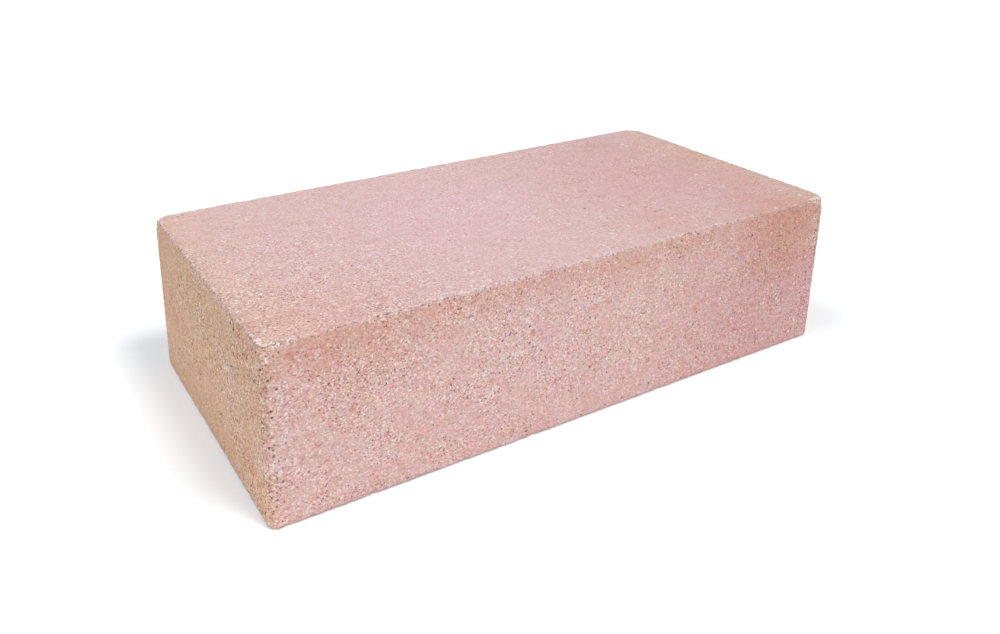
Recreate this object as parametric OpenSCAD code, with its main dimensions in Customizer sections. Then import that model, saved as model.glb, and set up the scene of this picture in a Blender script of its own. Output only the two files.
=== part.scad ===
// Solid pressed brick: one piece, with no frog, no holes and no cells.
// Lies on its bed face, with the origin at the middle of that face, length
// along X, width along Y and height along Z. All sizes are in millimetres.

/* [Brick] */
// Length of the stretcher face, along X
brick_length = 250; // [180:1:300]
// Width of the bed face, along Y
brick_width = 120; // [80:1:150]
// Height of the stretcher face, along Z
brick_height = 65; // [40:1:140]

/* [Edges] */
// Radius of the four upright corners, where the mould box was rounded
corner_radius = 3; // [2.5:0.5:15]
// Radius of the arrises round the top and bottom bed faces
arris_radius = 1; // [0.5:0.25:2]

/* [Hidden] */
$fn = 64;

fired_pink = "#dbb2ab";
core_length = brick_length - 2 * corner_radius;
core_width = brick_width - 2 * corner_radius;

// Upright section of the rim that runs round the brick: as wide as a corner's
// radius, as high as the brick, with the two arrises rounded on its outer side.
module rim_section() {
    flat_width = corner_radius - arris_radius;
    square([flat_width, brick_height]);
    translate([0, arris_radius])
        square([corner_radius, brick_height - 2 * arris_radius]);
    for (arris_height = [arris_radius, brick_height - arris_radius])
        translate([flat_width, arris_height])
            circle(arris_radius);
}

// A straight run of the rim along one face, drawn towards +X.
module face_rim(run, distance) {
    translate([distance, run / 2, 0])
        rotate([90, 0, 0])
            linear_extrude(run)
                rim_section();
}

// The quarter turn of the rim round the upright corner at +X and +Y.
module corner_rim() {
    translate([core_length / 2, core_width / 2, 0])
        rotate_extrude(angle = 90)
            rim_section();
}

module brick() {
    color(fired_pink)
        union() {
            translate([-core_length / 2, -core_width / 2, 0])
                cube([core_length, core_width, brick_height]);
            for (turn = [0, 180])
                rotate(turn) {
                    face_rim(core_width, core_length / 2);
                    rotate(90)
                        face_rim(core_length, core_width / 2);
                }
            for (side = [0, 1], end = [0, 1])
                mirror([0, side, 0])
                    mirror([end, 0, 0])
                        corner_rim();
        }
}

brick();
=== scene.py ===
"""Dresses a solid pressed brick: its granular body, crumbling arrises and worn corners,
with a plain studio to show it in. Laid out as a Blender add-on and run as a script."""

from collections import namedtuple
import math

import bpy
from mathutils import Matrix, Vector


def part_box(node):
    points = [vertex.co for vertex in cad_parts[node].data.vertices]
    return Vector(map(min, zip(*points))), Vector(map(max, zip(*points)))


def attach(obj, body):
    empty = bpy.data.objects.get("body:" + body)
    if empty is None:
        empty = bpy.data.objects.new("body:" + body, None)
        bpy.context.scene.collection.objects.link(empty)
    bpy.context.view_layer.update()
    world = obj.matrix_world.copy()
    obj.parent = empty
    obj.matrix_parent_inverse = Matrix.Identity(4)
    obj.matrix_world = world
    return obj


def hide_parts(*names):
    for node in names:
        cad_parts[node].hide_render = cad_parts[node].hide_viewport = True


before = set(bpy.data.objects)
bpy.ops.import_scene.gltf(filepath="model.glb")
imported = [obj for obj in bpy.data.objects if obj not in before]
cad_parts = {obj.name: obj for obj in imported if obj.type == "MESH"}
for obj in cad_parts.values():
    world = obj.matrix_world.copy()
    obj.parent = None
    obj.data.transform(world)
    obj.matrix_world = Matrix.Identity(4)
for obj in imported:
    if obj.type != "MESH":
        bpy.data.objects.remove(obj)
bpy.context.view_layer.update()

bl_info = {
    "name": "Solid Pressed Brick",
    "version": (1, 0, 0),
    "blender": (4, 5, 0),
    "location": "View3D > Sidebar > Brick",
    "description": "Makes a solid pressed brick and a plain studio to show it in",
    "category": "Object",
}

MM = 0.001
MM_PER_M = 1000.0
BRICK_LOW, BRICK_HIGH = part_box("brick")
BRICK_SIZE = BRICK_HIGH - BRICK_LOW
# The brick's middle, half its size and its top in mm, for the patterns.
MIDDLE_MM = (BRICK_LOW + BRICK_HIGH) / 2 * MM_PER_M
HALF_MM = BRICK_SIZE / 2 * MM_PER_M
TOP_MM = BRICK_HIGH.z * MM_PER_M

# The relief: triangles left after thinning, how far a step of the seed moves its patterns in mm,
# and the chips' spacing in mm and the share of places that has one.
TRIANGLE_LIMIT = 196000
SEED_STEP = (37.0, 53.0, 71.0)
CHIP_SPACING = 9.0
CHIP_SHARE = 0.35

# Over what distance from a bed or an end the finish of that face gives way to the sides', in mm.
BED_ZONE = (0.4, 1.6)
END_ZONE = (1.0, 5.0)

# What a full swing to warm or to red adds to each channel, as a share of it.
WARMER = (0.0, -0.20, -0.48)
REDDER = (0.07, -0.28, -0.14)
# The kiln's soft round stains: place as shares of the half sizes from the brick's middle, radius in
# mm, colour and strength, and how far they wander from round, in mm.
STAINS = (
    ((-0.20, 0.05, 1.0), 62, "lilac", 0.50),
    ((0.08, 0.20, 1.0), 34, "lilac", 0.25),
    ((-0.80, -0.85, 1.0), 46, "salmon", 0.28),
    ((0.36, -0.75, 1.0), 24, "salmon", 0.30),
    ((0.70, 0.80, 1.0), 15, "salmon", 0.30),
    ((0.84, -0.50, 1.0), 16, "salmon", 0.25),
    ((0.98, 0.05, 1.0), 46, "header", 0.35),
    ((0.62, 0.0, 1.0), 75, "rose", 0.45),
    ((0.80, -1.0, 0.60), 36, "salmon", 0.85),
    ((-0.75, -1.0, 0.70), 24, "salmon", 0.12),
    ((0.65, -1.0, -0.40), 56, "rose", 0.50),
    ((1.0, -1.0, -0.30), 34, "rose", 0.55),
    ((-0.15, -1.0, 0.10), 46, "lilac", 0.22),
    ((-1.0, -0.95, -0.20), 15, "lilac", 0.25),
    ((-1.0, -0.50, 0.10), 14, "lilac", 0.35),
    ((-1.0, -0.72, -0.45), 9, "salmon", 0.50),
    ((-1.0, 0.67, -0.08), 17, "salmon", 0.32),
    ((-1.0, 0.33, -0.54), 15, "salmon", 0.18),
)
STAIN_BEND = 16.0

# The body's grains: their spacing in mm, the power of the colour and the share of it in each channel
# that a full step in brightness adds, the brightest they get, and the depth of the bumps.
GRAIN_SPACING = 0.5
GRAIN_GAMMA = 0.58
GRAIN_TONE = (0.58, 0.73, 0.73)
GRAIN_CEILING = (0.9, 0.9, 0.9)
BUMP_DEPTH = 0.045 * MM

# Scattered grains and pores, from the lowest to the topmost: spacing and size in mm, the chance of
# one in each cell, how many times that on the ends and how much more along the edges, the pattern's
# shift in mm, the colour, how far it covers the body, and 1 for proud or -1 for sunk.
Speck = namedtuple("Speck", "spacing size chance on_ends on_edges shift colour cover rise")
SPECKS = (
    Speck(8.0, 3.6, 0.35, 1.0, 0.00, 59.0, "rust", 0.45, 0),
    Speck(1.2, 0.8, 0.30, 0.5, 0.30, 17.0, "sand", 0.85, 0),
    Speck(1.4, 1.0, 0.05, 4.5, 0.50, 41.0, "iron", 0.85, 0),
    Speck(2.6, 2.0, 0.28, 0.35, 0.20, 29.0, "quartz", 0.92, 1),
    Speck(2.8, 1.6, 0.09, 2.4, 0.60, 47.0, "pit", 0.90, -1),
)

# The stage: half the floor's width in m, what the camera alone sees added to the floor, which is
# cool because the brick throws warm light into its own shadow, and the brightness of the backdrop.
FLOOR_REACH = 8.0
FLOOR_GLOW = (0.72, 1.0, 1.2, 1.0)
FLOOR_GLOW_STRENGTH = 0.14
BACKDROP_STRENGTH = 1.05
# The lamps' widths in degrees, and where they shine from.
KEY_WIDTH = 20
KEY_PLACE = (0.26, -0.5, 1.0)
FILL_WIDTH = 28
FILL_PLACE = (-0.6, 0.12, 1.0)
# The camera: sensor and lens in mm, shift as shares of the sensor, place in m, and degrees of
# heading from +Y towards +X and of tilt below level.
SENSOR_WIDTH = 36.0
LENS = 33.23
LENS_SHIFT = (0.06, -0.16)
CLIP_START = 0.01
CAMERA_PLACE = (-0.2001, -0.2913, 0.1996)
CAMERA_HEADING = 30.51
CAMERA_TILT = 17.86


def srgb(code):
    """Turns a hex colour such as #c08a7c into linear red, green, blue and alpha."""
    channels = [int(code[i:i + 2], 16) / 255 for i in (1, 3, 5)]
    linear = [c / 12.92 if c <= 0.04045 else ((c + 0.055) / 1.055) ** 2.4 for c in channels]
    return (*linear, 1.0)


def add_node(tree, kind, inputs=None, **settings):
    """Adds one node, sets its options, and gives each input in the dict a value or a link."""
    node = tree.nodes.new(kind)
    for name, value in settings.items():
        setattr(node, name, value)
    for key, value in (inputs or {}).items():
        if isinstance(value, bpy.types.NodeSocket):
            tree.links.new(value, node.inputs[key])
        else:
            node.inputs[key].default_value = value
    return node


# ---------------------------------------------------------------- settings

class BrickShapeSettings(bpy.types.PropertyGroup):
    """Sizes of the brick's edges and of the relief on its faces."""

    corner_radius: bpy.props.FloatProperty(
        name="Corner radius", description="Radius of the four upright corners",
        default=3 * MM, min=0, unit="LENGTH")
    arris_radius: bpy.props.FloatProperty(
        name="Arris radius", description="Radius of the edges round the two bed faces",
        default=1 * MM, min=0, unit="LENGTH")
    grid_step: bpy.props.FloatProperty(
        name="Grid step", description="Spacing of the points that the relief is cut with",
        default=0.6 * MM, min=0.2 * MM, unit="LENGTH")
    sway: bpy.props.FloatProperty(
        name="Sway", description="How far a face wanders from flat, a hand's width across",
        default=0.2 * MM, min=0, unit="LENGTH")
    grain_relief: bpy.props.FloatProperty(
        name="Grain relief", description="Depth of the sandy grain on the faces",
        default=0.1 * MM, min=0, unit="LENGTH")
    pore_depth: bpy.props.FloatProperty(
        name="Pore depth", description="Depth of the scattered pores",
        default=0.35 * MM, min=0, unit="LENGTH")
    crumble: bpy.props.FloatProperty(
        name="Crumble", description="Depth that grains have broken away along the edges",
        default=0.45 * MM, min=0, unit="LENGTH")
    chip: bpy.props.FloatProperty(
        name="Chip", description="Width of the larger chips along the edges",
        default=3.5 * MM, min=0, unit="LENGTH")
    chip_depth: bpy.props.FloatProperty(
        name="Chip depth", description="Depth of the larger chips along the edges",
        default=0.7 * MM, min=0, unit="LENGTH")
    corner_wear: bpy.props.FloatProperty(
        name="Corner wear", description="Depth worn off the four top corners",
        default=0.9 * MM, min=0, unit="LENGTH")
    seed: bpy.props.IntProperty(
        name="Seed", description="Shifts every random pattern of the relief", default=0)


class BrickFinishSettings(bpy.types.PropertyGroup):
    """Colours of the pressed body and its grains, as sRGB hex codes."""

    stretcher: bpy.props.StringProperty(
        name="Stretcher", description="Pink of the long side faces", default="#e1bcb6")
    bed: bpy.props.StringProperty(
        name="Bed", description="Paler pink of the pressed bed faces", default="#d9b9b7")
    header: bpy.props.StringProperty(
        name="Header", description="Tan of the end faces", default="#dab59b")
    salmon: bpy.props.StringProperty(
        name="Salmon", description="Warm patches, where the clay holds more iron", default="#d49e8a")
    lilac: bpy.props.StringProperty(
        name="Lilac", description="Cool pink patches", default="#debac4")
    rose: bpy.props.StringProperty(
        name="Rose", description="Deeper pink patches", default="#d9a5a8")
    sand: bpy.props.StringProperty(
        name="Sand", description="Small pale pink sand grains", default="#feeee8")
    quartz: bpy.props.StringProperty(
        name="Quartz", description="Larger white grains, and the crumbs of worn skin", default="#f8f0eb")
    iron: bpy.props.StringProperty(
        name="Iron", description="Small brown grains", default="#6e4c45")
    rust: bpy.props.StringProperty(
        name="Rust", description="Faint rusty spots", default="#c4795c")
    pit: bpy.props.StringProperty(
        name="Pit", description="Dark pores and dark mineral grains", default="#4a3b3a")


class BrickStageSettings(bpy.types.PropertyGroup):
    """The floor and the lamps."""

    floor_colour: bpy.props.StringProperty(
        name="Floor", description="Colour of the floor", default="#fafafa")
    sky_strength: bpy.props.FloatProperty(
        name="Sky", description="Strength of the even light from all round", default=0.34, min=0)
    key_strength: bpy.props.FloatProperty(
        name="Key", description="Strength of the soft light from the front right, in W/m2",
        default=1.65, min=0)
    fill_strength: bpy.props.FloatProperty(
        name="Fill", description="Strength of the weak soft light from the left, in W/m2",
        default=0.95, min=0)


# ---------------------------------------------------------------- shared patterns

Distances = namedtuple("Distances", "end bed upright edge")


def edge_distances(tree, point_mm):
    """Distances in mm from a point to the box's nearest end, bed, upright edge and edge of any kind."""
    offset = add_node(
        tree, "ShaderNodeVectorMath", {0: point_mm, 1: MIDDLE_MM}, operation="SUBTRACT").outputs[0]
    spread = add_node(tree, "ShaderNodeVectorMath", {0: offset}, operation="ABSOLUTE").outputs[0]
    inset = add_node(
        tree, "ShaderNodeVectorMath", {0: HALF_MM, 1: spread}, operation="SUBTRACT").outputs[0]
    x, y, z = add_node(tree, "ShaderNodeSeparateXYZ", {0: inset}).outputs
    side = add_node(tree, "ShaderNodeMath", {0: x, 1: y}, operation="MINIMUM").outputs[0]
    upright = add_node(tree, "ShaderNodeMath", {0: x, 1: y}, operation="MAXIMUM").outputs[0]
    capped = add_node(tree, "ShaderNodeMath", {0: upright, 1: z}, operation="MINIMUM").outputs[0]
    edge = add_node(tree, "ShaderNodeMath", {0: side, 1: capped}, operation="MAXIMUM").outputs[0]
    return Distances(x, z, upright, edge)


def top_corner_distance(tree, point_mm):
    """Distance in mm from a point to the nearest of the four top corners."""
    offset = add_node(
        tree, "ShaderNodeVectorMath", {0: point_mm, 1: MIDDLE_MM}, operation="SUBTRACT").outputs[0]
    spread = add_node(tree, "ShaderNodeVectorMath", {0: offset}, operation="ABSOLUTE").outputs[0]
    x, y, _ = add_node(tree, "ShaderNodeSeparateXYZ", {0: spread}).outputs
    height = add_node(tree, "ShaderNodeSeparateXYZ", {0: offset}).outputs[2]
    place = add_node(tree, "ShaderNodeCombineXYZ", {"X": x, "Y": y, "Z": height}).outputs[0]
    return add_node(
        tree, "ShaderNodeVectorMath", {0: place, 1: HALF_MM}, operation="DISTANCE").outputs["Value"]


def ramp(tree, value, low, high, out_low=0.0, out_high=1.0):
    """A smooth step: out_low where value is under low, out_high where it is over high."""
    return add_node(
        tree, "ShaderNodeMapRange",
        {"Value": value, "From Min": low, "From Max": high, "To Min": out_low, "To Max": out_high},
        interpolation_type="SMOOTHSTEP").outputs[0]


def clouds(tree, point_mm, wavelength, detail=2.0, roughness=0.5, shift=0.0):
    """Smooth random values round 0.5 that change over wavelength mm."""
    moved = add_node(
        tree, "ShaderNodeVectorMath", {0: point_mm, 1: (shift, -shift, 0.7 * shift)}, operation="ADD")
    return add_node(
        tree, "ShaderNodeTexNoise",
        {"Vector": moved.outputs[0], "Scale": 1 / wavelength, "Detail": detail, "Roughness": roughness},
        noise_dimensions="3D").outputs[0]


def specks(tree, point_mm, spacing, size, share, softness=0.35, shift=0.0, ragged=0.5):
    """Scattered, roughly round grains or pores: 1 inside, 0 outside. That share of the cells, which
    lie spacing mm apart, holds a speck up to size mm across. Also gives the specks' girth, 0 to 1."""
    moved = add_node(
        tree, "ShaderNodeVectorMath", {0: point_mm, 1: (shift, shift, shift)}, operation="ADD").outputs[0]
    wobble = add_node(
        tree, "ShaderNodeTexNoise", {"Vector": moved, "Scale": 1.7 / size, "Detail": 1.0},
        noise_dimensions="3D").outputs["Color"]
    bent = add_node(
        tree, "ShaderNodeVectorMath", {0: wobble, 1: (ragged * size,) * 3, 2: moved},
        operation="MULTIPLY_ADD").outputs[0]
    cells = add_node(
        tree, "ShaderNodeTexVoronoi", {"Vector": bent, "Scale": 1 / spacing, "Randomness": 1.0},
        voronoi_dimensions="3D", feature="F1")
    chance, girth, _ = add_node(tree, "ShaderNodeSeparateXYZ", {0: cells.outputs["Color"]}).outputs
    radius = add_node(
        tree, "ShaderNodeMapRange",
        {"Value": girth, "To Min": 0.45 * size / 2 / spacing, "To Max": size / 2 / spacing}).outputs[0]
    depth = add_node(
        tree, "ShaderNodeMath", {0: radius, 1: cells.outputs["Distance"]}, operation="SUBTRACT").outputs[0]
    body = ramp(tree, depth, 0.0, softness * size / 2 / spacing)
    chosen = add_node(tree, "ShaderNodeMath", {0: chance, 1: share}, operation="LESS_THAN").outputs[0]
    mask = add_node(tree, "ShaderNodeMath", {0: body, 1: chosen}, operation="MULTIPLY").outputs[0]
    return mask, girth


# ---------------------------------------------------------------- the brick's mesh

def rounded_block(tree, sockets):
    """A box of even squares, bent to the mould's rounded arrises and corners."""
    size = add_node(
        tree, "ShaderNodeCombineXYZ",
        {"X": sockets["Length"], "Y": sockets["Width"], "Z": sockets["Height"]}).outputs[0]
    counts = []
    for side in ("Length", "Width", "Height"):
        steps = add_node(
            tree, "ShaderNodeMath", {0: sockets[side], 1: sockets["Grid step"]}, operation="DIVIDE")
        counts.append(add_node(tree, "ShaderNodeMath", {0: steps.outputs[0], 1: 1.0}, operation="ADD"))
    block = add_node(
        tree, "GeometryNodeMeshCube",
        {"Size": size, "Vertices X": counts[0].outputs[0], "Vertices Y": counts[1].outputs[0],
         "Vertices Z": counts[2].outputs[0]})

    # Every edge is bent to the radius of the arrises.
    place = add_node(tree, "GeometryNodeInputPosition").outputs[0]
    half = add_node(tree, "ShaderNodeVectorMath", {0: size, "Scale": 0.5}, operation="SCALE").outputs[0]
    radius = sockets["Arris radius"]
    rounding = add_node(tree, "ShaderNodeCombineXYZ", {"X": radius, "Y": radius, "Z": radius}).outputs[0]
    core = add_node(tree, "ShaderNodeVectorMath", {0: half, 1: rounding}, operation="SUBTRACT").outputs[0]
    inner, outward = split_at_core(tree, place, core)
    unit = add_node(tree, "ShaderNodeVectorMath", {0: outward}, operation="NORMALIZE").outputs[0]
    arm = add_node(tree, "ShaderNodeVectorMath", {0: unit, "Scale": radius}, operation="SCALE").outputs[0]
    eased = add_node(tree, "ShaderNodeVectorMath", {0: inner, 1: arm}, operation="ADD").outputs[0]

    # The upright corners are then bent, seen from above, from square to round.
    corner = sockets["Corner radius"]
    inset = add_node(tree, "ShaderNodeCombineXYZ", {"X": corner, "Y": corner, "Z": 0.0}).outputs[0]
    plan = add_node(tree, "ShaderNodeVectorMath", {0: half, 1: inset}, operation="SUBTRACT").outputs[0]
    inner, outward = split_at_core(tree, eased, plan)
    spread = add_node(tree, "ShaderNodeVectorMath", {0: outward}, operation="ABSOLUTE").outputs[0]
    x, y, _ = add_node(tree, "ShaderNodeSeparateXYZ", {0: spread}).outputs
    square = add_node(tree, "ShaderNodeMath", {0: x, 1: y}, operation="MAXIMUM").outputs[0]
    reach = add_node(tree, "ShaderNodeVectorMath", {0: outward}, operation="LENGTH").outputs["Value"]
    share = add_node(tree, "ShaderNodeMath", {0: square, 1: reach}, operation="DIVIDE").outputs[0]
    arm = add_node(tree, "ShaderNodeVectorMath", {0: outward, "Scale": share}, operation="SCALE").outputs[0]
    turned = add_node(tree, "ShaderNodeVectorMath", {0: inner, 1: arm}, operation="ADD").outputs[0]

    # The block stands on its bed.
    rise = add_node(tree, "ShaderNodeVectorMath", {0: half, 1: (0, 0, 1)}, operation="MULTIPLY").outputs[0]
    standing = add_node(tree, "ShaderNodeVectorMath", {0: turned, 1: rise}, operation="ADD").outputs[0]
    return add_node(
        tree, "GeometryNodeSetPosition",
        {"Geometry": block.outputs["Mesh"], "Position": standing}).outputs[0]


def split_at_core(tree, place, core):
    """The nearest point of an inner box, and the way from there to place."""
    far = add_node(tree, "ShaderNodeVectorMath", {0: core, "Scale": -1.0}, operation="SCALE").outputs[0]
    above = add_node(tree, "ShaderNodeVectorMath", {0: place, 1: far}, operation="MAXIMUM").outputs[0]
    inner = add_node(tree, "ShaderNodeVectorMath", {0: above, 1: core}, operation="MINIMUM").outputs[0]
    outward = add_node(tree, "ShaderNodeVectorMath", {0: place, 1: inner}, operation="SUBTRACT").outputs[0]
    return inner, outward


def scoops(tree, point_mm, width):
    """Scattered shallow scoops, width metres wide: 1 at the middle of each, 0 outside."""
    cells = add_node(
        tree, "ShaderNodeTexVoronoi", {"Vector": point_mm, "Scale": 1 / CHIP_SPACING},
        voronoi_dimensions="3D")
    away = add_node(
        tree, "ShaderNodeMath", {0: cells.outputs["Distance"], 1: 2 * CHIP_SPACING * MM},
        operation="MULTIPLY").outputs[0]
    scoop = ramp(tree, away, 0.0, width, 1.0, 0.0)
    chance = add_node(tree, "ShaderNodeSeparateXYZ", {0: cells.outputs["Color"]}).outputs[0]
    chosen = add_node(tree, "ShaderNodeMath", {0: chance, 1: CHIP_SHARE}, operation="LESS_THAN").outputs[0]
    return add_node(tree, "ShaderNodeMath", {0: scoop, 1: chosen}, operation="MULTIPLY").outputs[0]


def relief_depth(tree, sockets, point_mm):
    """How deep each point lies under the mould's surface, in metres: sway, grain, pores and wear."""
    # Grains and chips break away within 2.4 mm of an edge, and a top corner is worn over 6 mm.
    near_edge = ramp(tree, edge_distances(tree, point_mm).edge, 0.5, 2.4, 1.0, 0.0)
    worn = ramp(tree, top_corner_distance(tree, point_mm), 0.5, 6.0, 1.0, 0.0)
    offset = add_node(
        tree, "ShaderNodeVectorMath", {0: SEED_STEP, "Scale": sockets["Seed"]}, operation="SCALE").outputs[0]
    point_mm = add_node(tree, "ShaderNodeVectorMath", {0: point_mm, 1: offset}, operation="ADD").outputs[0]
    sway = clouds(tree, point_mm, 45.0, detail=1.0)
    grain = clouds(tree, point_mm, 1.5, detail=1.0, roughness=0.6, shift=11.0)
    bites = ramp(tree, clouds(tree, point_mm, 2.2, detail=2.5, roughness=0.65, shift=23.0), 0.45, 0.75)
    chips = scoops(tree, point_mm, sockets["Chip"])
    pores, _ = specks(tree, point_mm, 4.0, 1.4, 0.25, softness=0.8, shift=5.0)
    parts = (
        (sway, sockets["Sway"], None),
        (grain, sockets["Grain relief"], None),
        (pores, sockets["Pore depth"], None),
        (bites, sockets["Crumble"], near_edge),
        (chips, sockets["Chip depth"], near_edge),
        (worn, sockets["Corner wear"], None),
    )
    total = None
    for pattern, depth, where in parts:
        share = add_node(tree, "ShaderNodeMath", {0: pattern, 1: depth}, operation="MULTIPLY").outputs[0]
        if where is not None:
            share = add_node(tree, "ShaderNodeMath", {0: share, 1: where}, operation="MULTIPLY").outputs[0]
        total = share if total is None else add_node(
            tree, "ShaderNodeMath", {0: total, 1: share}, operation="ADD").outputs[0]
    return total


def brick_tree():
    """Geometry nodes for the brick: a block of fine squares, rounded, then cut back by its relief."""
    tree = bpy.data.node_groups.new("Pressed brick", "GeometryNodeTree")
    interface = tree.interface
    interface.new_socket("Geometry", in_out="OUTPUT", socket_type="NodeSocketGeometry")
    for name in ("Length", "Width", "Height", "Corner radius", "Arris radius", "Grid step",
                 "Sway", "Grain relief", "Pore depth", "Crumble", "Chip", "Chip depth", "Corner wear",
                 "Seed"):
        interface.new_socket(name, in_out="INPUT", socket_type="NodeSocketFloat")
    interface.new_socket("Material", in_out="INPUT", socket_type="NodeSocketMaterial")
    sockets = add_node(tree, "NodeGroupInput").outputs
    block = rounded_block(tree, sockets)
    place = add_node(tree, "GeometryNodeInputPosition").outputs[0]
    in_mm = add_node(
        tree, "ShaderNodeVectorMath", {0: place, "Scale": MM_PER_M}, operation="SCALE").outputs[0]
    depth = relief_depth(tree, sockets, in_mm)
    inwards = add_node(tree, "ShaderNodeMath", {0: depth, 1: -1.0}, operation="MULTIPLY").outputs[0]
    normal = add_node(tree, "GeometryNodeInputNormal").outputs[0]
    offset = add_node(
        tree, "ShaderNodeVectorMath", {0: normal, "Scale": inwards}, operation="SCALE").outputs[0]
    cut = add_node(tree, "GeometryNodeSetPosition", {"Geometry": block, "Offset": offset}).outputs[0]
    smooth = add_node(tree, "GeometryNodeSetShadeSmooth", {"Geometry": cut}).outputs[0]
    finished = add_node(
        tree, "GeometryNodeSetMaterial", {"Geometry": smooth, "Material": sockets["Material"]}).outputs[0]
    add_node(tree, "NodeGroupOutput", {"Geometry": finished})
    return tree


def apply_modifiers(piece):
    """Puts the modifiers' result into the piece's mesh, and takes the modifiers off."""
    graph = bpy.context.evaluated_depsgraph_get()
    mesh = bpy.data.meshes.new_from_object(piece.evaluated_get(graph))
    piece.modifiers.clear()
    piece.data = mesh


def brick_piece(shape, material):
    """The whole brick as one closed mesh, thinned to the triangles that its relief needs."""
    piece = bpy.data.objects.new("brick_body", bpy.data.meshes.new("brick_body"))
    bpy.context.scene.collection.objects.link(piece)
    modifier = piece.modifiers.new("Pressed brick", "NODES")
    modifier.node_group = brick_tree()
    values = {
        "Length": BRICK_SIZE.x, "Width": BRICK_SIZE.y, "Height": BRICK_SIZE.z,
        "Corner radius": shape.corner_radius, "Arris radius": shape.arris_radius,
        "Grid step": shape.grid_step, "Sway": shape.sway, "Grain relief": shape.grain_relief,
        "Pore depth": shape.pore_depth, "Crumble": shape.crumble, "Chip": shape.chip,
        "Chip depth": shape.chip_depth, "Corner wear": shape.corner_wear, "Seed": shape.seed,
        "Material": material,
    }
    for item in modifier.node_group.interface.items_tree:
        if item.in_out == "INPUT":
            modifier[item.identifier] = values[item.name]
    apply_modifiers(piece)
    triangles = 2 * len(piece.data.polygons)
    thin = piece.modifiers.new("Thin", "DECIMATE")
    thin.ratio = TRIANGLE_LIMIT / triangles
    apply_modifiers(piece)
    return piece


# ---------------------------------------------------------------- finishes

def mix_colour(tree, amount, below, above):
    """Colour that goes from below to above as amount goes from 0 to 1."""
    node = add_node(tree, "ShaderNodeMix", data_type="RGBA")
    # The node's sockets share their names between data types, so the colour's go by index.
    for index, value in ((0, amount), (6, below), (7, above)):
        if isinstance(value, bpy.types.NodeSocket):
            tree.links.new(value, node.inputs[index])
        else:
            node.inputs[index].default_value = value
    return node.outputs[2]


def stained(tree, finish, point_mm, colour):
    """The colour with the kiln's soft round stains laid over it."""
    for share, radius, name, strength in STAINS:
        centre = MIDDLE_MM + Vector(share) * HALF_MM
        away = add_node(
            tree, "ShaderNodeVectorMath", {0: point_mm, 1: centre}, operation="DISTANCE").outputs["Value"]
        amount = ramp(tree, away, 0.0, radius, strength, 0.0)
        colour = mix_colour(tree, amount, colour, srgb(getattr(finish, name)))
    return colour


def kiln_colour(tree, finish, point, edges):
    """The fired clay without its grains: a tone for each kind of face, and the kiln's stains."""
    # The long sides turn salmon over their topmost 17 mm.
    height = add_node(tree, "ShaderNodeSeparateXYZ", {0: point}).outputs[2]
    band = ramp(tree, height, TOP_MM - 17.0, TOP_MM - 3.0, 0.0, 0.35)
    stretcher = mix_colour(tree, band, srgb(finish.stretcher), srgb(finish.salmon))

    # The tan of the ends stops at a ragged border, a few mm inside their edges.
    wander = add_node(
        tree, "ShaderNodeTexNoise", {"Vector": point, "Scale": 1 / 12.0, "Detail": 2.0},
        noise_dimensions="3D").outputs["Color"]
    ragged = add_node(tree, "ShaderNodeSeparateXYZ", {0: wander}).outputs[0]
    border = add_node(
        tree, "ShaderNodeMath", {0: edges.upright, 1: edges.bed}, operation="MINIMUM").outputs[0]
    border = add_node(
        tree, "ShaderNodeMath", {0: ragged, 1: 7.0, 2: border}, operation="MULTIPLY_ADD").outputs[0]
    tan = add_node(
        tree, "ShaderNodeMath",
        {0: ramp(tree, edges.end, 1.0, 4.0, 1.0, 0.0), 1: ramp(tree, border, 3.5, 8.0, 0.3, 1.0)},
        operation="MULTIPLY").outputs[0]
    side = mix_colour(tree, tan, stretcher, srgb(finish.header))

    # The beds turn a little tan towards the ends.
    bed = mix_colour(
        tree, ramp(tree, edges.end, 0.0, 30.0, 0.35, 0.0), srgb(finish.bed), srgb(finish.header))
    colour = mix_colour(tree, ramp(tree, edges.bed, *BED_ZONE, 1.0, 0.0), side, bed)

    bent = add_node(
        tree, "ShaderNodeVectorMath", {0: wander, 1: (STAIN_BEND,) * 3, 2: point},
        operation="MULTIPLY_ADD").outputs[0]
    bent = add_node(
        tree, "ShaderNodeVectorMath", {0: bent, 1: (STAIN_BEND / 2,) * 3}, operation="SUBTRACT").outputs[0]
    return stained(tree, finish, bent, colour)


def tinted(tree, point, colour, edges):
    """The colour with small patches that turn warmer or cooler, and redder or greyer."""
    drift = add_node(
        tree, "ShaderNodeTexNoise", {"Vector": point, "Scale": 1 / 5.0, "Detail": 1.0, "Roughness": 1.0},
        noise_dimensions="3D").outputs["Color"]
    warm, red, _ = add_node(tree, "ShaderNodeSeparateXYZ", {0: drift}).outputs
    on_bed = ramp(tree, edges.bed, *BED_ZONE, 0.6, 1.0)
    tint = (1.0, 1.0, 1.0)
    for value, axis, on_ends in ((warm, WARMER, 1.4), (red, REDDER, 0.8)):
        strength = add_node(
            tree, "ShaderNodeMath", {0: on_bed, 1: ramp(tree, edges.end, *END_ZONE, on_ends, 1.0)},
            operation="MULTIPLY").outputs[0]
        swing = add_node(tree, "ShaderNodeMath", {0: value, 1: 0.5}, operation="SUBTRACT").outputs[0]
        swing = add_node(tree, "ShaderNodeMath", {0: swing, 1: strength}, operation="MULTIPLY").outputs[0]
        tint = add_node(
            tree, "ShaderNodeVectorMath", {0: swing, 1: axis, 2: tint}, operation="MULTIPLY_ADD").outputs[0]
    return add_node(tree, "ShaderNodeVectorMath", {0: colour, 1: tint}, operation="MULTIPLY").outputs[0]


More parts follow.
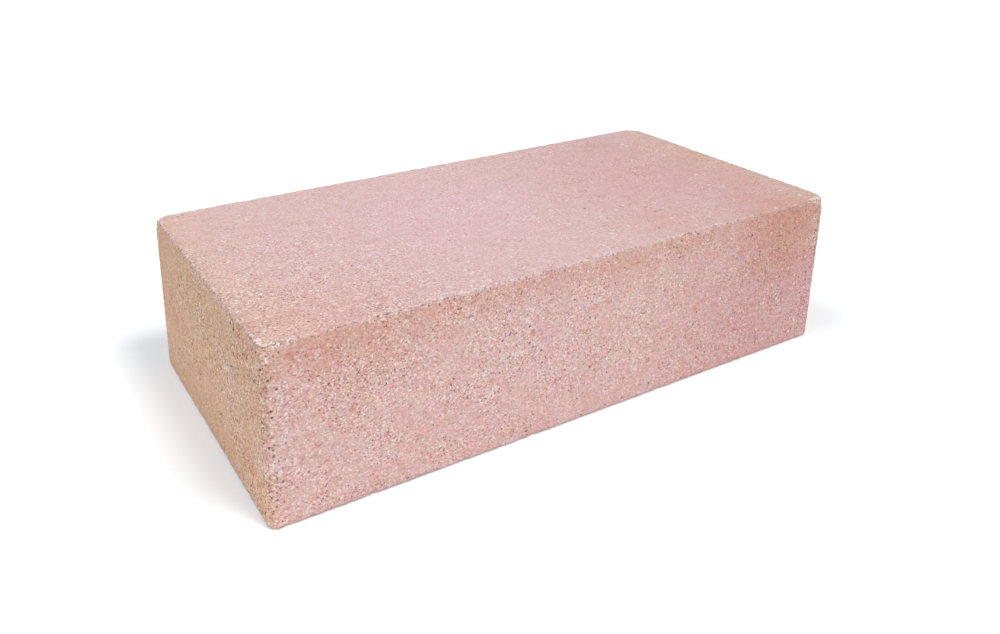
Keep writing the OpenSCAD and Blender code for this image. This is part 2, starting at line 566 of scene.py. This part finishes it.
def openness(tree, point, edges):
    """How open and sandy the surface is: most near one top corner, less on the beds, which the press
    plates smoothed, and towards the far side of the ends."""
    corner = Vector((BRICK_LOW.x, BRICK_LOW.y, BRICK_HIGH.z)) * MM_PER_M
    away = add_node(
        tree, "ShaderNodeVectorMath", {0: point, 1: corner}, operation="DISTANCE").outputs["Value"]
    height = add_node(tree, "ShaderNodeSeparateXYZ", {0: point}).outputs[2]
    level = ramp(tree, away, 10.0, 120.0, 1.24, 1.05)
    on_bed = ramp(tree, away, 20.0, 120.0, 1.15, 0.72)
    on_end = ramp(tree, away, 50.0, 130.0, 1.08, 0.75)
    # The last share smooths the band under the top edges.
    for share in (
            ramp(tree, edges.bed, *BED_ZONE, on_bed, 1.0), ramp(tree, edges.end, *END_ZONE, on_end, 1.0),
            ramp(tree, height, TOP_MM - 16.0, TOP_MM - 4.0, 1.0, 0.85)):
        level = add_node(tree, "ShaderNodeMath", {0: level, 1: share}, operation="MULTIPLY").outputs[0]
    return level


def worn_skin(tree, finish, point, edges, colour):
    """The colour along the edges, where the skin has broken: a broken line of dark pits, and over it
    pale crumbs, most at the top corners."""
    corner = top_corner_distance(tree, point)
    # The distance from the edge, made ragged.
    frayed = add_node(
        tree, "ShaderNodeMath", {0: clouds(tree, point, 1.2, 1.0, 0.5, 19.0), 1: 1.6, 2: edges.edge},
        operation="MULTIPLY_ADD").outputs[0]
    pitted = ramp(tree, edges.bed, 5.0, 12.0, 0.7, 0.25)
    pits = ramp(tree, clouds(tree, point, 2.0, 2.0, 0.8, 61.0), 0.40, 0.52, 0.0, pitted)
    crumbs = ramp(tree, clouds(tree, point, 1.4, 2.0, 0.8, 83.0), 0.50, 0.58)
    skin = add_node(
        tree, "ShaderNodeMath", {0: crumbs, 1: ramp(tree, corner, 4.0, 15.0, 1.0, 0.2)},
        operation="MULTIPLY").outputs[0]
    # Both reach farther from the edge near a top corner.
    pits_end = ramp(tree, corner, 3.0, 13.0, 2.6, 1.5)
    skin_end = ramp(tree, corner, 3.0, 13.0, 4.5, 2.2)
    for amount, start, end, name in ((pits, 0.9, pits_end, "pit"), (skin, 1.2, skin_end, "quartz")):
        share = add_node(
            tree, "ShaderNodeMath", {0: amount, 1: ramp(tree, frayed, start, end, 1.0, 0.0)},
            operation="MULTIPLY").outputs[0]
        colour = mix_colour(tree, share, colour, srgb(getattr(finish, name)))
    return colour


def darkened_end_and_painted_shade(tree, point, colour, edges):
    """The colour a little darker towards one end of the brick, and on its ends painted light towards the
    bottom and painted shade towards the top, which evens out the shade that falls on their lower part.
    """
    along, _, height = add_node(tree, "ShaderNodeSeparateXYZ", {0: point}).outputs
    # Painted light and shade: the ends are lighter at the bottom and darker at the top, against the shade
    # that falls on them near the floor.
    on_end = ramp(tree, height, 0.0, TOP_MM, 1.06, 0.94)
    level = add_node(
        tree, "ShaderNodeMath",
        {0: ramp(tree, along, -20.0, 110.0, 1.0, 0.915), 1: ramp(tree, edges.end, *END_ZONE, on_end, 1.0)},
        operation="MULTIPLY").outputs[0]
    return add_node(
        tree, "ShaderNodeVectorMath", {0: colour, "Scale": level}, operation="SCALE").outputs[0]


def grained(tree, point, colour, edges, sandy, nests):
    """The colour with each grain of the body a little lighter or darker than the next, and with
    lumps of them. Sandy and nests are how open and how patchy the surface is."""
    wobble = add_node(
        tree, "ShaderNodeTexNoise", {"Vector": point, "Scale": 1.3, "Detail": 1.0},
        noise_dimensions="3D").outputs["Color"]
    bent = add_node(
        tree, "ShaderNodeVectorMath", {0: wobble, 1: (0.3, 0.3, 0.3), 2: point},
        operation="MULTIPLY_ADD").outputs[0]
    cells = add_node(
        tree, "ShaderNodeTexVoronoi", {"Vector": bent, "Scale": 1 / GRAIN_SPACING},
        voronoi_dimensions="3D")
    lot = add_node(tree, "ShaderNodeSeparateXYZ", {0: cells.outputs["Color"]}).outputs[0]
    # The lightest and the darkest tenth of the grains stand out more.
    keen = add_node(
        tree, "ShaderNodeMath",
        {0: ramp(tree, lot, 0.88, 1.0, 0.0, 0.6), 1: ramp(tree, lot, 0.0, 0.10, 0.5, 0.0)},
        operation="SUBTRACT").outputs[0]
    lot = add_node(tree, "ShaderNodeMath", {0: lot, 1: keen}, operation="ADD").outputs[0]
    grainy = add_node(
        tree, "ShaderNodeMath", {0: sandy, 1: ramp(tree, nests, 0.35, 0.65, 0.78, 1.22)},
        operation="MULTIPLY").outputs[0]
    grainy = add_node(
        tree, "ShaderNodeMath", {0: grainy, 1: ramp(tree, edges.end, *END_ZONE, 0.57, 0.46)},
        operation="MULTIPLY").outputs[0]
    lumps = clouds(tree, point, 6.0, 2.0, 0.8, 77.0)
    lumpy = ramp(tree, edges.end, *END_ZONE, 0.46, 0.24)
    shade = 0.0
    for value, contrast in ((lot, grainy), (lumps, lumpy)):
        swing = add_node(tree, "ShaderNodeMath", {0: value, 1: 0.5}, operation="SUBTRACT").outputs[0]
        shade = add_node(
            tree, "ShaderNodeMath", {0: swing, 1: contrast, 2: shade}, operation="MULTIPLY_ADD").outputs[0]

    # The same step in brightness for each channel, as the eye sees it, so grains keep the hue.
    tone = add_node(tree, "ShaderNodeGamma", {"Color": colour, "Gamma": GRAIN_GAMMA}).outputs[0]
    tone = add_node(tree, "ShaderNodeVectorMath", {0: tone, 1: GRAIN_TONE}, operation="MULTIPLY").outputs[0]
    colour = add_node(
        tree, "ShaderNodeVectorMath", {0: shade, 1: tone, 2: colour}, operation="MULTIPLY_ADD").outputs[0]
    return add_node(
        tree, "ShaderNodeVectorMath", {0: colour, 1: GRAIN_CEILING}, operation="MINIMUM").outputs[0]


def speckled(tree, finish, point, colour, edges, sandy, nests):
    """The colour with the scattered grains and pores over it, and the height of its bumps."""
    # They crowd along the edges and at the top corners, where the pressed skin has broken, and
    # beside the upright edges.
    crowd = ramp(tree, edges.edge, 0.4, 1.8, 1.0, 0.0)
    corner = top_corner_distance(tree, point)
    for more in (ramp(tree, edges.upright, 1.0, 8.0, 0.8, 0.0), ramp(tree, corner, 4.0, 14.0, 1.0, 0.0)):
        crowd = add_node(tree, "ShaderNodeMath", {0: crowd, 1: more}, operation="MAXIMUM").outputs[0]
    open_spots = add_node(
        tree, "ShaderNodeMath", {0: sandy, 1: ramp(tree, nests, 0.35, 0.65, 0.45, 1.55)},
        operation="MULTIPLY").outputs[0]
    seen = ramp(tree, edges.bed, *BED_ZONE, 0.48, 1.0)
    height = clouds(tree, point, 0.8, 2.0, 0.6, 9.0)
    for speck in SPECKS:
        extra = add_node(
            tree, "ShaderNodeMath", {0: crowd, 1: speck.on_edges}, operation="MULTIPLY").outputs[0]
        likely = ramp(tree, edges.end, *END_ZONE, speck.chance * speck.on_ends, speck.chance)
        often = add_node(
            tree, "ShaderNodeMath", {0: open_spots, 1: likely, 2: extra},
            operation="MULTIPLY_ADD").outputs[0]
        mask, girth = specks(tree, point, speck.spacing, speck.size, often, shift=speck.shift)
        mask = add_node(
            tree, "ShaderNodeMath", {0: mask, 1: ramp(tree, girth, 0.0, 1.0, 0.5, 1.0)},
            operation="MULTIPLY").outputs[0]
        if speck.rise:
            height = add_node(
                tree, "ShaderNodeMath", {0: mask, 1: speck.rise, 2: height},
                operation="MULTIPLY_ADD").outputs[0]
        share = add_node(tree, "ShaderNodeMath", {0: mask, 1: speck.cover}, operation="MULTIPLY").outputs[0]
        share = add_node(tree, "ShaderNodeMath", {0: share, 1: seen}, operation="MULTIPLY").outputs[0]
        colour = mix_colour(tree, share, colour, srgb(getattr(finish, speck.colour)))
    return colour, height


def dry_pressed_clay(finish):
    """Fired clay, dry pressed with sand: a matt, open body. Light sinks into it and comes back the
    same from every side, and the eye sees coloured grains, pale quartz and dark pores."""
    material = bpy.data.materials.new("dry_pressed_clay")
    material.use_nodes = True
    tree = material.node_tree
    tree.nodes.clear()
    place = add_node(tree, "ShaderNodeTexCoord").outputs["Object"]
    point = add_node(
        tree, "ShaderNodeVectorMath", {0: place, "Scale": MM_PER_M}, operation="SCALE").outputs[0]
    edges = edge_distances(tree, point)
    sandy = openness(tree, point, edges)
    nests = clouds(tree, point, 14.0, 1.0, 0.5, 31.0)
    colour = tinted(tree, point, kiln_colour(tree, finish, point, edges), edges)
    # Darker towards one end of the brick, with painted light and shade on its ends.
    colour = darkened_end_and_painted_shade(tree, point, colour, edges)
    colour = grained(tree, point, colour, edges, sandy, nests)
    colour = worn_skin(tree, finish, point, edges, colour)
    colour, height = speckled(tree, finish, point, colour, edges, sandy, nests)
    bump = add_node(
        tree, "ShaderNodeBump", {"Height": height, "Strength": 1.0, "Distance": BUMP_DEPTH}).outputs[0]
    shader = add_node(
        tree, "ShaderNodeBsdfPrincipled",
        {"Base Color": colour, "Roughness": 0.92, "Specular IOR Level": 0.25, "Normal": bump})
    add_node(tree, "ShaderNodeOutputMaterial", {"Surface": shader.outputs[0]})
    return material


def pale_floor(colour):
    """Plain matt floor. The camera alone sees a faint glow on it, which turns it white where no
    shadow falls."""
    material = bpy.data.materials.new("pale_floor")
    material.use_nodes = True
    tree = material.node_tree
    tree.nodes.clear()
    shader = add_node(
        tree, "ShaderNodeBsdfPrincipled",
        {"Base Color": srgb(colour), "Roughness": 1.0, "Specular IOR Level": 0.0}).outputs[0]
    glow = add_node(
        tree, "ShaderNodeEmission", {"Color": FLOOR_GLOW, "Strength": FLOOR_GLOW_STRENGTH}).outputs[0]
    both = add_node(tree, "ShaderNodeAddShader", {0: shader, 1: glow}).outputs[0]
    rays = add_node(tree, "ShaderNodeLightPath").outputs
    seen = add_node(
        tree, "ShaderNodeMixShader", {0: rays["Is Camera Ray"], 1: shader, 2: both}).outputs[0]
    add_node(tree, "ShaderNodeOutputMaterial", {"Surface": seen})
    return material


# ---------------------------------------------------------------- operators

class BRICK_OT_body(bpy.types.Operator):
    """Make the brick with its relief and its finish"""
    bl_idname = "brick.make_body"
    bl_label = "Make brick"

    def execute(self, context):
        material = dry_pressed_clay(context.scene.brick_finish)
        piece = brick_piece(context.scene.brick_shape, material)
        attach(piece, "root")
        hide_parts("brick")
        return {"FINISHED"}


class BRICK_OT_stage(bpy.types.Operator):
    """Make the floor, the lamps and the camera"""
    bl_idname = "brick.make_stage"
    bl_label = "Make stage"

    def execute(self, context):
        stage = context.scene.brick_stage
        add_floor(context, stage.floor_colour)
        add_world(context, stage.sky_strength)
        add_lamp(context, "key", stage.key_strength, KEY_WIDTH, KEY_PLACE)
        add_lamp(context, "fill", stage.fill_strength, FILL_WIDTH, FILL_PLACE)
        add_camera(context)
        context.scene.view_settings.view_transform = "Standard"
        return {"FINISHED"}


def add_floor(context, colour):
    """A square floor that reaches far past what the camera sees."""
    mesh = bpy.data.meshes.new("floor")
    corners = [(x * FLOOR_REACH, y * FLOOR_REACH, 0) for x, y in ((-1, -1), (1, -1), (1, 1), (-1, 1))]
    mesh.from_pydata(corners, [], [(0, 1, 2, 3)])
    mesh.materials.append(pale_floor(colour))
    floor = bpy.data.objects.new("floor", mesh)
    context.scene.collection.objects.link(floor)


def add_world(context, strength):
    """Even light from all round, which the camera sees as a white backdrop."""
    world = bpy.data.worlds.new("studio")
    context.scene.world = world
    world.use_nodes = True
    tree = world.node_tree
    tree.nodes.clear()
    rays = add_node(tree, "ShaderNodeLightPath").outputs
    level = add_node(
        tree, "ShaderNodeMapRange",
        {"Value": rays["Is Camera Ray"], "To Min": strength, "To Max": BACKDROP_STRENGTH}).outputs[0]
    sky = add_node(tree, "ShaderNodeBackground", {"Color": (1, 1, 1, 1), "Strength": level})
    add_node(tree, "ShaderNodeOutputWorld", {"Surface": sky.outputs[0]})


def add_lamp(context, name, strength, width, place):
    """A soft, far lamp that looks width degrees wide and shines from place towards the origin."""
    light = bpy.data.lights.new(name, "SUN")
    light.energy = strength
    light.angle = math.radians(width)
    lamp = bpy.data.objects.new(name, light)
    context.scene.collection.objects.link(lamp)
    turn = Vector(place).to_track_quat("Z", "Y").to_matrix().to_4x4()
    lamp.matrix_world = Matrix.Translation(place) @ turn


def add_camera(context):
    """The camera, in front of the brick and to its left, a little above it."""
    data = bpy.data.cameras.new("camera")
    data.sensor_width = SENSOR_WIDTH
    data.lens = LENS
    data.shift_x, data.shift_y = LENS_SHIFT
    data.clip_start = CLIP_START
    camera = bpy.data.objects.new("camera", data)
    context.scene.collection.objects.link(camera)
    heading = math.radians(CAMERA_HEADING)
    tilt = math.radians(CAMERA_TILT)
    level = Vector((math.sin(heading), math.cos(heading), 0.0))
    look = level * math.cos(tilt) - Vector((0.0, 0.0, math.sin(tilt)))
    turn = look.to_track_quat("-Z", "Y").to_matrix().to_4x4()
    camera.matrix_world = Matrix.Translation(CAMERA_PLACE) @ turn
    context.scene.camera = camera


class BRICK_PT_panel(bpy.types.Panel):
    """Lists the settings and the operators"""
    bl_idname = "BRICK_PT_panel"
    bl_label = "Pressed brick"
    bl_space_type = "VIEW_3D"
    bl_region_type = "UI"
    bl_category = "Brick"

    def draw(self, context):
        for group in (context.scene.brick_shape, context.scene.brick_finish, context.scene.brick_stage):
            box = self.layout.box()
            for name in group.__annotations__:
                box.prop(group, name)
        self.layout.operator("brick.make_body")
        self.layout.operator("brick.make_stage")


CLASSES = (
    BrickShapeSettings,
    BrickFinishSettings,
    BrickStageSettings,
    BRICK_OT_body,
    BRICK_OT_stage,
    BRICK_PT_panel,
)


def register():
    for cls in CLASSES:
        bpy.utils.register_class(cls)
    bpy.types.Scene.brick_shape = bpy.props.PointerProperty(type=BrickShapeSettings)
    bpy.types.Scene.brick_finish = bpy.props.PointerProperty(type=BrickFinishSettings)
    bpy.types.Scene.brick_stage = bpy.props.PointerProperty(type=BrickStageSettings)


def unregister():
    del bpy.types.Scene.brick_stage
    del bpy.types.Scene.brick_finish
    del bpy.types.Scene.brick_shape
    for cls in reversed(CLASSES):
        bpy.utils.unregister_class(cls)


def main():
    register()
    bpy.ops.brick.make_body()
    bpy.ops.brick.make_stage()


if __name__ == "__main__":
    main()
